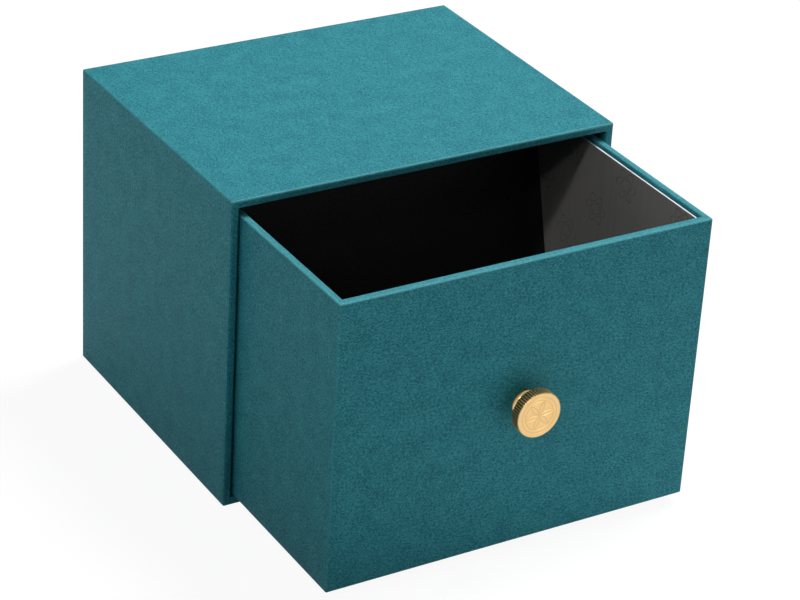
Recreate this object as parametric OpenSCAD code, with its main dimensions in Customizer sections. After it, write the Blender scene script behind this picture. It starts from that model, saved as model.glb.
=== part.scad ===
// Sliding drawer gift box: a rigid board sleeve, a board drawer that slides out of its
// mouth, and a knurled brass knob held by a screw from inside the drawer.
// Millimetres. The origin is the centre of the sleeve's underside, the front faces -Y
// and +Z is up. The drawer stands out of the sleeve by open_out.

/* [Overall size] */
// Outside width of the sleeve, left to right
sleeve_w = 120; // [80:1:200]
// Outside depth of the sleeve, mouth to back
sleeve_d = 92; // [64:1:160]
// Outside height of the sleeve
sleeve_h = 94; // [60:1:120]
// How far the drawer's front stands out of the sleeve's mouth
open_out = 52.4; // [0:0.2:60]

/* [Boards] */
// Thickness of the sleeve's greyboard
board_t = 2; // [1.2:0.1:3]
// Thickness of the drawer's floor, side and back boards
drawer_board_t = 1.8; // [1.2:0.1:3]
// Thickness of the drawer's front board, which carries the knob
front_board_t = 2.2; // [1.2:0.1:4]

/* [Papers] */
// Thickness of the textured wrap paper and of the cover sheets
wrap_t = 0.2; // [0.14:0.02:0.4]
// Thickness of the dark lining paper
lining_t = 0.16; // [0.1:0.02:0.3]
// Thickness of the paper stays pressed into the board edges
stay_t = 0.12; // [0.08:0.02:0.2]
// Width of each leg of a paper stay
stay_leg = 10; // [5:1:15]
// How far the wrap is turned in behind the mouth and below the drawer's rim
turn_in = 14; // [6:1:18]
// Width of the wrap folded over onto the underside and the back
hem = 12; // [6:1:16]
// How far a cover sheet stays inside the edges of the face it covers
sheet_inset = 1.5; // [0.5:0.1:4]
// How far the drawer's wall lining starts below the rim
lining_drop = 3; // [1.5:0.5:5]
// How far the sleeve's lining starts behind the mouth
lining_back = 3; // [1.5:0.5:5]

/* [Drawer fit] */
// Clearance between the drawer and the sleeve's lining on each side
side_gap = 0.55; // [0.3:0.05:2]
// Clearance over the drawer's rim
top_gap = 2.4; // [0.5:0.1:5]
// Clearance under the drawer
floor_gap = 0.1; // [0.05:0.05:0.5]
// Clearance behind the drawer when its front is flush with the mouth
back_gap = 0.6; // [0.2:0.1:5]

/* [Knob] */
// Diameter of the knob's knurled head
knob_d = 13.5; // [10:0.5:24]
// Thickness of the knob's head
knob_head_t = 3.1; // [1.8:0.1:5]
// Length of the knob's neck between the panel and the head
knob_neck_l = 4.2; // [4:0.1:10]
// Diameter of the neck's two collars
neck_d = 8; // [7.6:0.1:9.6]
// Diameter of the neck at its waist
waist_d = 6.2; // [5.4:0.1:7]
// Number of straight grooves around the head
knurl_count = 56; // [32:2:80]
// Depth of each groove
knurl_deep = 0.3; // [0.1:0.05:0.4]
// Bevel around the knob's face
knob_bevel = 0.25; // [0.1:0.05:0.5]
// How far the knob sits to the right of the panel's centre
knob_right = 1; // [-4:0.5:4]
// How far the knob sits above the panel's centre
knob_up = 0.5; // [-4:0.5:4]

/* [Knob screw] */
// Diameter of the screw's shank
screw_d = 3; // [2.5:0.1:4]
// Clearance around the shank in the board and papers
screw_clear = 0.15; // [0.05:0.05:0.4]
// How far the screw reaches into the knob
screw_bite = 4.2; // [3:0.1:5]
// Diameter of the screw's head
screw_head_d = 7; // [5.6:0.1:9]
// Height of the screw's head
screw_head_t = 1.7; // [1.2:0.1:2.5]

/* [Liner card] */
// Thickness of the printed card
card_t = 0.5; // [0.3:0.1:1]
// How far the card's top edge is below the rim
card_drop = 1; // [0.5:0.1:2.5]
// Gap between the card and the wall lining
card_gap = 0.1; // [0.05:0.05:0.5]
// Gap between the card and the front wall's lining
card_front_gap = 0.5; // [0.1:0.1:3]
// Gap between the top of the card and the back wall's lining
card_back_gap = 3.4; // [1:0.1:8]
// Slant of the card's rear edge from upright, in degrees
card_slant = 15; // [0:1:20]

/* [Hidden] */
$fn = 96;
// How far a cutter runs past the face it opens
over = 1;
along_y = [0, 1, 0];
along_z = [0, 0, 1];

teal_paper = [0.18, 0.42, 0.46];
greyboard = [0.60, 0.58, 0.54];
black_paper = [0.06, 0.06, 0.07];
kraft_tape = [0.70, 0.57, 0.40];
grey_card = [0.31, 0.31, 0.30];
gold_brass = [0.93, 0.78, 0.50];
zinc_steel = [0.74, 0.74, 0.76];

// Sleeve: outside of the wrap, outside of the boards, inside of the boards
sleeve_lo = [-sleeve_w / 2, -sleeve_d / 2, wrap_t];
sleeve_hi = [sleeve_w / 2, sleeve_d / 2 - wrap_t, sleeve_h];
sboard_lo = sleeve_lo + [wrap_t, wrap_t, wrap_t];
sboard_hi = sleeve_hi - [wrap_t, wrap_t, wrap_t];
scave_lo = sboard_lo + [board_t, 0, board_t];
scave_hi = sboard_hi - [board_t, board_t, board_t];
mouth_y = sleeve_lo.y;
turn_end_y = mouth_y + wrap_t + turn_in;
slined_t = wrap_t + lining_t;

// Drawer in its closed place: base sheet's underside, outside of the wrap, boards, inside
drawer_z0 = scave_lo.z + slined_t + floor_gap;
drawer_z1 = scave_hi.z - slined_t - top_gap;
drawer_half = scave_hi.x - slined_t - side_gap;
drawer_y1 = scave_hi.y - lining_t - back_gap;
tray_lo = [-drawer_half, mouth_y, drawer_z0 + wrap_t];
tray_hi = [drawer_half, drawer_y1, drawer_z1];
tboard_lo = tray_lo + [wrap_t, wrap_t, wrap_t];
tboard_hi = tray_hi - [wrap_t, wrap_t, wrap_t];
well_lo = tboard_lo + [drawer_board_t, front_board_t, drawer_board_t];
well_hi = tboard_hi - [drawer_board_t, drawer_board_t, 0];
turn_end_z = tray_hi.z - wrap_t - turn_in;

// Knob and screw
knob_at = [knob_right, mouth_y, (drawer_z0 + drawer_z1) / 2 + knob_up];
knob_r = knob_d / 2;
neck_collar_t = 0.5;
cove_deep = (neck_d - waist_d) / 2;
cove_half = knob_neck_l / 2 - neck_collar_t;
cove_r = (cove_half * cove_half + cove_deep * cove_deep) / (2 * cove_deep);
screw_r = screw_d / 2;
hole_r = screw_r + screw_clear;
bore_spare = 0.4;
panel_t = wrap_t + front_board_t + lining_t;
recess_w = 0.9;
recess_l = 3.6;
recess_deep = 0.9;

// Card
card_x1 = well_hi.x - wrap_t - lining_t - card_gap;
card_y0 = well_lo.y + wrap_t + lining_t + card_front_gap;
card_y1 = well_hi.y - wrap_t - lining_t - card_back_gap;
card_z0 = well_lo.z + lining_t;
card_z1 = tray_hi.z - card_drop;

// A box between two opposite corners
module block(lo, hi) {
    translate(lo)
        cube(hi - lo);
}

// A box with a box-shaped hole
module holed(lo, hi, hole_lo, hole_hi) {
    difference() {
        block(lo, hi);
        block(hole_lo, hole_hi);
    }
}

// A square tube along an axis, from one inset to a deeper one
module ring(lo, hi, shallow, deep, axis) {
    flat = [1, 1, 1] - axis;
    holed(lo + shallow * flat, hi - shallow * flat,
          lo + deep * flat - over * axis, hi - deep * flat + over * axis);
}

// The L of a folded paper stay, its outside corner at the origin
module stay_outline() {
    polygon([[0, 0], [-stay_leg, 0], [-stay_leg, -stay_t],
             [-stay_t, -stay_t], [-stay_t, -stay_leg], [0, -stay_leg]]);
}

// A sheet laid over a hem: a plate, and a pad that fills the hem's window down to the board
module cover_sheet(plate_lo, plate_hi, pad_lo, pad_hi) {
    block(plate_lo, plate_hi);
    block(pad_lo, pad_hi);
}

module in_open_drawer() {
    translate([0, -open_out, 0])
        children();
}

// A cylinder along +Y from a depth behind the panel's face
module rod_y(from_y, length, r) {
    translate([knob_at.x, knob_at.y + from_y, knob_at.z])
        rotate([-90, 0, 0])
            cylinder(h = length, r = r);
}

module screw_hole() {
    rod_y(-over, panel_t + 2 * over, hole_r);
}

// ---- sleeve ----

module sleeve_edge_stays() {
    mid_z = (sboard_lo.z + sboard_hi.z) / 2;
    half_z = (sboard_hi.z - sboard_lo.z) / 2;
    color(kraft_tape)
        for (flip_x = [0, 1], flip_z = [0, 1])
            translate([0, 0, mid_z])
                mirror([flip_x, 0, 0])
                    mirror([0, 0, flip_z])
                        translate([sboard_hi.x, sboard_hi.y, half_z])
                            rotate([90, 0, 0])
                                linear_extrude(sboard_hi.y - sboard_lo.y)
                                    stay_outline();
}

// A sleeve board with the stays pressed flush into its edges
module taped_sleeve_board(lo, hi) {
    color(greyboard)
        difference() {
            block(lo, hi);
            sleeve_edge_stays();
        }
}

module sleeve_top_board() {
    taped_sleeve_board([sboard_lo.x, sboard_lo.y, scave_hi.z], sboard_hi);
}

module sleeve_bottom_board() {
    taped_sleeve_board(sboard_lo, [sboard_hi.x, sboard_hi.y, scave_lo.z]);
}

module sleeve_left_board() {
    taped_sleeve_board([sboard_lo.x, sboard_lo.y, scave_lo.z],
                       [scave_lo.x, sboard_hi.y, scave_hi.z]);
}

module sleeve_right_board() {
    taped_sleeve_board([scave_hi.x, sboard_lo.y, scave_lo.z],
                       [sboard_hi.x, sboard_hi.y, scave_hi.z]);
}

module sleeve_back_board() {
    color(greyboard)
        block([scave_lo.x, scave_hi.y, scave_lo.z], [scave_hi.x, sboard_hi.y, scave_hi.z]);
}

// Window left by the hem in the wrap under the sleeve
base_window_lo = [sboard_lo.x + hem, sboard_lo.y + hem, sleeve_lo.z];
base_window_hi = [sboard_hi.x - hem, sboard_hi.y - hem, sboard_lo.z];
// Window left by the hem in the wrap behind the sleeve
back_window_lo = [sboard_lo.x + hem, sboard_hi.y, sboard_lo.z + hem];
back_window_hi = [sboard_hi.x - hem, sleeve_hi.y, sboard_hi.z - hem];

module sleeve_wrap() {
    color(teal_paper) {
        // Outside skin, with the hem's window underneath
        difference() {
            ring(sleeve_lo, sleeve_hi, 0, wrap_t, along_y);
            block(base_window_lo - over * along_z, base_window_hi + over * along_z);
        }
        // Over the board edges at the mouth
        ring(sleeve_lo, [sleeve_hi.x, sboard_lo.y, sleeve_hi.z],
             0, wrap_t + board_t + wrap_t, along_y);
        // Turned in behind the mouth
        ring([scave_lo.x, mouth_y, scave_lo.z], [scave_hi.x, turn_end_y, scave_hi.z],
             0, wrap_t, along_y);
        // Folded over onto the back
        holed([sleeve_lo.x, sboard_hi.y, sleeve_lo.z], sleeve_hi,
              back_window_lo - over * along_y, back_window_hi + over * along_y);
    }
}

module sleeve_base_sheet() {
    color(teal_paper)
        cover_sheet([sleeve_lo.x + sheet_inset, mouth_y + sheet_inset, 0],
                    [sleeve_hi.x - sheet_inset, sleeve_hi.y - sheet_inset, sleeve_lo.z],
                    base_window_lo, base_window_hi);
}

module sleeve_back_sheet() {
    color(teal_paper)
        cover_sheet([sleeve_lo.x + sheet_inset, sleeve_hi.y, sleeve_lo.z + sheet_inset],
                    [sleeve_hi.x - sheet_inset, sleeve_d / 2, sleeve_hi.z - sheet_inset],
                    back_window_lo, back_window_hi);
}

module sleeve_lining() {
    step_y = turn_end_y + lining_t;
    color(black_paper) {
        // On the turned-in wrap
        ring([scave_lo.x, mouth_y + lining_back, scave_lo.z],
             [scave_hi.x, step_y, scave_hi.z], wrap_t, slined_t, along_y);
        // Stepping down from it
        ring([scave_lo.x, turn_end_y, scave_lo.z], [scave_hi.x, step_y, scave_hi.z],
             0, slined_t, along_y);
        // On the boards and across the back
        holed([scave_lo.x, turn_end_y, scave_lo.z], scave_hi,
              [scave_lo.x + lining_t, turn_end_y - over, scave_lo.z + lining_t],
              scave_hi - [lining_t, lining_t, lining_t]);
    }
}

// ---- drawer, drawn in its closed place ----

module tray_stays() {
    mid_y = (tboard_lo.y + tboard_hi.y) / 2;
    half_y = (tboard_hi.y - tboard_lo.y) / 2;
    for (flip_x = [0, 1], flip_y = [0, 1])
        translate([0, mid_y, tboard_lo.z])
            mirror([flip_x, 0, 0])
                mirror([0, flip_y, 0])
                    translate([tboard_hi.x, half_y, 0])
                        linear_extrude(tboard_hi.z - tboard_lo.z)
                            stay_outline();
}

module drawer_corner_stays() {
    color(kraft_tape)
        in_open_drawer()
            tray_stays();
}

// A drawer wall board with the stays pressed flush into its edges
module taped_tray_board(lo, hi) {
    color(greyboard)
        in_open_drawer()
            difference() {
                block(lo, hi);
                tray_stays();
            }
}

module drawer_front_board() {
    difference() {
        taped_tray_board(tboard_lo, [tboard_hi.x, well_lo.y, tboard_hi.z]);
        in_open_drawer()
            screw_hole();
    }
}

module drawer_back_board() {
    taped_tray_board([tboard_lo.x, well_hi.y, tboard_lo.z], tboard_hi);
}

module drawer_left_board() {
    taped_tray_board([tboard_lo.x, well_lo.y, tboard_lo.z],
                     [well_lo.x, well_hi.y, tboard_hi.z]);
}

module drawer_right_board() {
    taped_tray_board([well_hi.x, well_lo.y, tboard_lo.z],
                     [tboard_hi.x, well_hi.y, tboard_hi.z]);
}

module drawer_floor_board() {
    color(greyboard)
        in_open_drawer()
            block([well_lo.x, well_lo.y, tboard_lo.z], [well_hi.x, well_hi.y, well_lo.z]);
}

// Window left by the hem in the wrap under the drawer
tray_window_lo = [tboard_lo.x + hem, tboard_lo.y + hem, tray_lo.z];
tray_window_hi = [tboard_hi.x - hem, tboard_hi.y - hem, tboard_lo.z];

module drawer_wrap() {
    color(teal_paper)
        in_open_drawer()
            difference() {
                union() {
                    // Outside skin
                    ring(tray_lo, tray_hi, 0, wrap_t, along_z);
                    // Over the boards at the rim
                    holed([tray_lo.x, tray_lo.y, tboard_hi.z], tray_hi,
                          [well_lo.x + wrap_t, well_lo.y + wrap_t, tboard_hi.z - over],
                          [well_hi.x - wrap_t, well_hi.y - wrap_t, tray_hi.z + over]);
                    // Turned in below the rim
                    ring([well_lo.x, well_lo.y, turn_end_z], [well_hi.x, well_hi.y, tray_hi.z],
                         0, wrap_t, along_z);
                    // Folded under
                    holed(tray_lo, [tray_hi.x, tray_hi.y, tboard_lo.z],
                          tray_window_lo - over * along_z, tray_window_hi + over * along_z);
                }
                screw_hole();
            }
}

module drawer_base_sheet() {
    color(teal_paper)
        in_open_drawer()
            cover_sheet([tray_lo.x + sheet_inset, tray_lo.y + sheet_inset, drawer_z0],
                        [tray_hi.x - sheet_inset, tray_hi.y - sheet_inset, tray_lo.z],
                        tray_window_lo, tray_window_hi);
}

module drawer_wall_lining() {
    step_z = turn_end_z - lining_t;
    color(black_paper)
        in_open_drawer()
            difference() {
                union() {
                    // On the turned-in wrap
                    ring([well_lo.x, well_lo.y, step_z],
                         [well_hi.x, well_hi.y, tray_hi.z - lining_drop],
                         wrap_t, slined_t, along_z);
                    // Stepping down from it
                    ring([well_lo.x, well_lo.y, step_z], [well_hi.x, well_hi.y, turn_end_z],
                         0, slined_t, along_z);
                    // On the boards
                    ring(well_lo, [well_hi.x, well_hi.y, turn_end_z], 0, lining_t, along_z);
                }
                screw_hole();
            }
}

module drawer_floor_lining() {
    color(black_paper)
        in_open_drawer()
            block(well_lo + [lining_t, lining_t, 0],
                  [well_hi.x - lining_t, well_hi.y - lining_t, well_lo.z + lining_t]);
}

module side_liner_card() {
    short_y1 = card_y1 - (card_z1 - card_z0) * tan(card_slant);
    color(grey_card)
        in_open_drawer()
            translate([card_x1 - card_t, 0, 0])
                rotate([90, 0, 90])
                    linear_extrude(card_t)
                        polygon([[card_y0, card_z0], [short_y1, card_z0],
                                 [card_y1, card_z1], [card_y0, card_z1]]);
}

// ---- knob ----

// Toothed outline of the head: each groove is a notch between two crests
module knurl_outline() {
    pitch = 360 / knurl_count;
    polygon([for (i = [0 : 2 * knurl_count - 1])
             let (r = i % 2 == 0 ? knob_r : knob_r - knurl_deep, a = i * pitch / 2)
             [r * cos(a), r * sin(a)]]);
}

// Half outline of the head's envelope, bevelled at both edges
module head_envelope() {
    polygon([[0, 0], [knob_r - knob_bevel, 0], [knob_r, knob_bevel],
             [knob_r, knob_head_t - knob_bevel], [knob_r - knob_bevel, knob_head_t],
             [0, knob_head_t]]);
}

// Half outline of the neck: two collars with a round cove between them
module neck_outline() {
    difference() {
        square([neck_d / 2, knob_neck_l]);
        translate([waist_d / 2 + cove_r, knob_neck_l / 2])
            circle(r = cove_r);
    }
}

module knob() {
    color(gold_brass)
        in_open_drawer()
            translate(knob_at)
                rotate([90, 0, 0])
                    difference() {
                        union() {
                            rotate_extrude()
                                neck_outline();
                            translate([0, 0, knob_neck_l])
                                intersection() {
                                    linear_extrude(knob_head_t)
                                        knurl_outline();
                                    rotate_extrude()
                                        head_envelope();
                                }
                        }
                        translate([0, 0, -over])
                            cylinder(h = over + screw_bite + bore_spare, r = screw_r);
                    }
}

module knob_screw() {
    recess_z = screw_head_t - recess_deep;
    // Ball that domes the head down to a rim half its height
    rim_t = screw_head_t / 2;
    ball_r = (pow(screw_head_d / 2, 2) + rim_t * rim_t) / (2 * rim_t);
    color(zinc_steel)
        in_open_drawer() {
            rod_y(-screw_bite, screw_bite + panel_t, screw_r);
            translate([knob_at.x, knob_at.y + panel_t, knob_at.z])
                rotate([-90, 0, 0])
                    difference() {
                        intersection() {
                            cylinder(h = screw_head_t, r = screw_head_d / 2);
                            translate([0, 0, screw_head_t - ball_r])
                                sphere(r = ball_r);
                        }
                        for (turn = [0, 90])
                            rotate([0, 0, turn])
                                translate([-recess_l / 2, -recess_w / 2, recess_z])
                                    cube([recess_l, recess_w, recess_deep + over]);
                    }
        }
}

sleeve_top_board();
sleeve_bottom_board();
sleeve_left_board();
sleeve_right_board();
sleeve_back_board();
sleeve_edge_stays();
sleeve_wrap();
sleeve_base_sheet();
sleeve_back_sheet();
sleeve_lining();
drawer_floor_board();
drawer_front_board();
drawer_back_board();
drawer_left_board();
drawer_right_board();
drawer_corner_stays();
drawer_wrap();
drawer_base_sheet();
drawer_wall_lining();
drawer_floor_lining();
side_liner_card();
knob();
knob_screw();
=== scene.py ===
"""Looks of the sliding drawer gift box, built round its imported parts.

Metres, +Z up, the front to -Y, the origin under the middle of the sleeve. The folded
papers, the card and the knob are new surfaces worked out on grids; boards, tapes, linings,
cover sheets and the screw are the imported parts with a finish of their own.
"""

from __future__ import annotations

import logging
import math
from dataclasses import dataclass, field
from enum import Enum, IntEnum
from typing import ClassVar

import bpy
import numpy as np
from mathutils import Matrix

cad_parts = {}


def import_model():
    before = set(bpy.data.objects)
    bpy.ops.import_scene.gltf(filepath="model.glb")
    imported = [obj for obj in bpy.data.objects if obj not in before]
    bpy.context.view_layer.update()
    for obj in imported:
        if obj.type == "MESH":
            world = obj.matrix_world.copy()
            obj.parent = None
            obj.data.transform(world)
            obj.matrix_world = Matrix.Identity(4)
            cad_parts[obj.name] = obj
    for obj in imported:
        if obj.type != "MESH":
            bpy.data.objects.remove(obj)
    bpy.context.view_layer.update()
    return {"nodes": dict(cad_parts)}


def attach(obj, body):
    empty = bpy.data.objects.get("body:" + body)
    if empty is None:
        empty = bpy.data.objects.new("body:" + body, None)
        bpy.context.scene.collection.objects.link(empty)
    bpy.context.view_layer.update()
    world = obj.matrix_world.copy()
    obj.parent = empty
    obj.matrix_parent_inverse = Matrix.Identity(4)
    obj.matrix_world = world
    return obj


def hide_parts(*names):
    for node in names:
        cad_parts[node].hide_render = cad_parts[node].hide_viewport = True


LOG = logging.getLogger("gift_box")
MM = 0.001
# The drawer's front at rest, and the knob's axis across and up on it
FRONT = -98.4 * MM
KNOB_AT = (1 * MM, 46.45 * MM)
# Rough distance between the grid lines of the folded papers
GRID_STEP = 3 * MM

Pair = tuple[float, float]
Place = tuple[float, float, float]
Stops = tuple[tuple[float, str], ...]


# ---- small tools ----

def linear(hex_colour: str) -> tuple[float, float, float, float]:
    """Turns an sRGB hex colour such as #32818D to linear red, green, blue and alpha."""
    parts = np.array([int(hex_colour[i:i + 2], 16) for i in (1, 3, 5)]) / 255
    low, high = parts / 12.92, ((parts + 0.055) / 1.055) ** 2.4
    return (*np.where(parts <= 0.04045, low, high).tolist(), 1.0)


def fill(node: bpy.types.Node, inputs: dict[str, object] | list[object]) -> None:
    """Sets or links those inputs of a node that are in use.

    Args:
        node: the node.
        inputs: what the inputs get, by name or in their order: a value to set, a socket
            to link, or a node, which gives its first output in use.
    """
    goals = [socket for socket in node.inputs if socket.enabled]
    if isinstance(inputs, dict):
        goals = [next(goal for goal in goals if goal.name == name) for name in inputs]
        inputs = list(inputs.values())
    for goal, value in zip(goals, inputs):
        if isinstance(value, bpy.types.Node):
            value = next(socket for socket in value.outputs if socket.enabled)
        if isinstance(value, bpy.types.NodeSocket):
            node.id_data.links.new(value, goal)
        else:
            goal.default_value = value


def add_node(
    tree: bpy.types.NodeTree,
    kind: str,
    inputs: dict[str, object] | list[object] | None = None,
    stops: Stops = (),
    **settings: object,
) -> bpy.types.Node:
    """Adds a node with its settings and links.

    Args:
        tree: the node tree it goes into.
        kind: Blender's name for the kind of node, without its ShaderNode.
        inputs: what its inputs get, as fill takes it.
        stops: places and hex colours along a colour ramp.
        settings: properties of the node.

    Returns:
        The new node.
    """
    node = tree.nodes.new("ShaderNode" + kind)
    for key, value in settings.items():
        setattr(node, key, value)
    fill(node, inputs or [])
    if stops:
        ramp = node.color_ramp
        while len(ramp.elements) < len(stops):
            ramp.elements.new(0.5)
        for element, (place, colour) in zip(ramp.elements, stops):
            element.position = place
            element.color = linear(colour)
    return node


def new_material(name: str) -> tuple[bpy.types.Material, bpy.types.NodeTree, bpy.types.Node]:
    """Makes an empty material.

    Args:
        name: what the finish is and how it was made.

    Returns:
        The material, its node tree and its shader, already joined to the output.
    """
    material = bpy.data.materials.new(name)
    material.use_nodes = True
    tree = material.node_tree
    tree.nodes.clear()
    shader = add_node(tree, "BsdfPrincipled")
    add_node(tree, "OutputMaterial", {"Surface": shader})
    return material, tree, shader


def dress(piece: bpy.types.Object, material: bpy.types.Material) -> None:
    """Gives the whole piece one material."""
    if not piece.data.materials:
        piece.data.materials.append(material)
    for slot in piece.material_slots:
        slot.link = "OBJECT"
        slot.material = material


def arc(centre: Pair, radius: float, start: float, end: float, steps: int) -> np.ndarray:
    """Points along a round fold, from one angle to the other, both in degrees.

    Args:
        centre: middle of the fold.
        radius: radius of the fold.
        start: first angle.
        end: last angle.
        steps: number of pieces.

    Returns:
        steps + 1 points, one in each row.
    """
    turn = np.radians(np.linspace(start, end, steps + 1))
    return np.stack([centre[0] + radius * np.cos(turn),
                     centre[1] + radius * np.sin(turn)], axis=1)


def run(start: Pair, end: Pair, steps: int) -> np.ndarray:
    """Points inside a straight line between two points, without its two ends."""
    share = np.linspace(0, 1, steps + 1)[1:-1, None]
    return np.array(start) * (1 - share) + np.array(end) * share


def marks(low: float, high: float, step: float, special: tuple[float, ...] = (),
          clear: float = 0.45) -> np.ndarray:
    """Places along a side: both ends, even places between, and the special ones.

    Args:
        low: first place.
        high: last place.
        step: rough distance between even places.
        special: places that have to be there.
        clear: share of the step within which an even place gives way to a special one.

    Returns:
        Rising places.
    """
    even = np.linspace(low, high, max(2, round((high - low) / step)) + 1)
    wanted = np.array(special)
    if wanted.size:
        near = np.abs(even[:, None] - wanted[None, :]).min(axis=1) < clear * step
        near[[0, -1]] = False
        even = np.union1d(even[~near], wanted)
    return even


def waves(points: np.ndarray, longest: float, seed: int, count: int = 6,
          shorter: float = 0.8) -> np.ndarray:
    """Slow unevenness of board and paste: a sum of sines in random directions.

    Args:
        points: places, with x, y and z last.
        longest: longest wave.
        seed: picks the directions and phases.
        count: number of waves.
        shorter: length of each wave against the one before.

    Returns:
        A height for each place, from -1 to 1.
    """
    chance = np.random.default_rng(seed)
    total = np.zeros(points.shape[:-1])
    for length in longest * shorter ** np.arange(count):
        way = chance.normal(size=3)
        way /= np.linalg.norm(way)
        total += np.sin(points @ way * (2 * np.pi / length) + chance.uniform(0, 2 * np.pi))
    return total / count


def make_mesh(
    name: str,
    points: np.ndarray,
    faces: np.ndarray,
    values: dict[str, np.ndarray] | None = None,
    uv: np.ndarray | None = None,
    sharp: float = 40.0,
    closed: bool = True,
) -> bpy.types.Object:
    """Makes an object of quads and triangles, turned so that its faces point outwards.

    Args:
        name: name of the piece.
        points: one vertex in each row.
        faces: four vertices in each row; a triangle has -1 as its last one.
        values: named numbers, one for each vertex.
        uv: a place on the flat paper for each corner of each face.
        sharp: edges that turn more than this, in degrees, are shaded as edges.
        closed: whether it is a closed skin; an open one keeps the side it was given.

    Returns:
        The object, linked to the scene.
    """
    corner = points[np.maximum(faces, 0)]
    halves = (corner[:, [0, 1, 2]], corner[faces[:, 3] >= 0][:, [0, 2, 3]])
    volume = sum(np.einsum("ij,ij->", h[:, 0], np.cross(h[:, 1], h[:, 2])) for h in halves)
    four = faces[:, 3] >= 0
    loop_count = np.where(four, 4, 3)
    order = np.broadcast_to(np.arange(4), faces.shape).copy()
    if closed and volume < 0:
        order[four] = [3, 2, 1, 0]
        order[~four] = [2, 1, 0, 3]
    turned = np.take_along_axis(faces, order, axis=1)
    kept = np.arange(4)[None, :] < loop_count[:, None]
    mesh = bpy.data.meshes.new(name)
    mesh.vertices.add(len(points))
    mesh.vertices.foreach_set("co", points.astype(np.float32).ravel())
    mesh.loops.add(int(loop_count.sum()))
    mesh.loops.foreach_set("vertex_index", turned[kept].astype(np.int32))
    mesh.polygons.add(len(faces))
    mesh.polygons.foreach_set(
        "loop_start", (np.cumsum(loop_count) - loop_count).astype(np.int32))
    mesh.polygons.foreach_set("use_smooth", np.ones(len(faces), bool))
    mesh.update(calc_edges=True)
    mesh.set_sharp_from_angle(angle=math.radians(sharp))
    for key, value in (values or {}).items():
        layer = mesh.attributes.new(key, "FLOAT", "POINT")
        layer.data.foreach_set("value", value.astype(np.float32).ravel())
    if uv is not None:
        layer = mesh.uv_layers.new(name="paper")
        flat = np.take_along_axis(uv, order[:, :, None], axis=1)[kept]
        layer.data.foreach_set("uv", flat.astype(np.float32).ravel())
    mesh.validate()
    piece = bpy.data.objects.new(name, mesh)
    bpy.context.scene.collection.objects.link(piece)
    return piece


# ---- finishes ----

class Pattern(Enum):
    """Where a paper's pattern is read: along the folded sheet, or on a flat one."""

    FOLDED = "folded"
    LYING = "lying"
    UPRIGHT = "upright"


@dataclass(frozen=True)
class EmbossedPaper:
    """Dyed cover paper, pressed between embossing rolls.

    The rolls leave short strokes about a millimetre long, in patches that lie across each
    other. Their ridges are painted lighter and their valleys darker, as painted highlight and
    shade of the relief. Folds are painted lighter, partly as rubbed wear and partly as painted
    highlight, and their ridges most.
    """

    name: str = "embossed_dyed_cover_paper"
    slot: str = "textured_wrap_paper"
    # The valley colour is painted shade in the emboss's valleys, the ridge colour a painted
    # highlight on its ridges
    valley: str = "#17646F"
    body: str = "#29828F"
    ridge_highlight: str = "#43A0AB"
    # Lighter colour of the folds: partly rubbed wear, partly painted highlight along the lit
    # edges
    rub_and_highlight: str = "#5CAEB8"
    contrast: float = 0.14
    roughness: float = 0.62
    refraction: float = 1.45
    shine: float = 0.2
    stroke: float = 0.22 * MM
    stretch: float = 4.2
    turns: Pair = (68.0, -52.0)
    shifts: Pair = (0.0, 0.31)
    patch: float = 0.35
    patch_edge: Pair = (0.42, 0.58)
    depth: float = 0.06 * MM
    mottle: float = 6.0 * MM
    mottle_tone: float = 0.16
    rub_highlight_from: Pair = (0.36, 0.62)
    rub_highlight_valley: float = 0.55

    def build(self, pattern: Pattern) -> bpy.types.Material:
        """Builds the material for one way of reading the pattern."""
        material, tree, shader = new_material(f"{self.name}_{pattern.value}")
        if pattern is Pattern.FOLDED:
            place = add_node(tree, "UVMap", uv_map="paper")
        else:
            place = add_node(tree, "TexCoord").outputs["Object"]
        if pattern is Pattern.UPRIGHT:
            place = add_node(tree, "Mapping", {
                "Vector": place, "Rotation": (math.pi / 2, 0, 0)})
        strokes = []
        for turn, shift in zip(self.turns, self.shifts):
            laid = add_node(tree, "Mapping", {
                "Vector": place, "Location": (shift, shift, 0),
                "Rotation": (0, 0, math.radians(turn)), "Scale": (1, self.stretch, 1),
            }, vector_type="TEXTURE")
            strokes.append(add_node(tree, "TexNoise", {
                "Vector": laid, "Scale": 1 / self.stroke, "Detail": 1.0, "Roughness": 0.6,
                "Distortion": 0.6}))
        patches = add_node(tree, "TexNoise", {
            "Vector": place, "Scale": self.patch / self.stroke, "Detail": 1.0})
        patches = add_node(tree, "MapRange", [patches, *self.patch_edge])
        height = add_node(tree, "Mix", [patches, *strokes])
        mottle = add_node(tree, "TexNoise", {
            "Vector": place, "Scale": 1 / self.mottle, "Detail": 2.0})
        tone = add_node(tree, "Math", [mottle, self.mottle_tone, -self.mottle_tone / 2],
                        operation="MULTIPLY_ADD")
        tone = add_node(tree, "Math", [height, tone])
        # Painted shade in the valleys and painted highlight on the ridges of the relief
        colour = add_node(tree, "ValToRGB", [tone], stops=(
            (0.5 - self.contrast, self.valley), (0.5, self.body),
            (0.5 + self.contrast, self.ridge_highlight)))
        # Folds painted lighter, partly as rubbed wear and partly as painted highlight, on the
        # ridges most
        if pattern is Pattern.FOLDED:
            fold = add_node(tree, "Attribute", attribute_name="fold")
            rub_highlight_share = add_node(tree, "MapRange", [
                height, *self.rub_highlight_from, self.rub_highlight_valley])
            rub_highlight_share = add_node(tree, "Math", [rub_highlight_share, fold.outputs["Fac"]],
                            operation="MULTIPLY")
            colour = add_node(tree, "Mix", [rub_highlight_share, colour, linear(self.rub_and_highlight)],
                              data_type="RGBA")
        bump = add_node(tree, "Bump", {"Height": height, "Distance": self.depth})
        fill(shader, {"Base Color": colour, "Normal": bump, "Roughness": self.roughness,
                      "IOR": self.refraction, "Specular IOR Level": self.shine})
        return material


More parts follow.
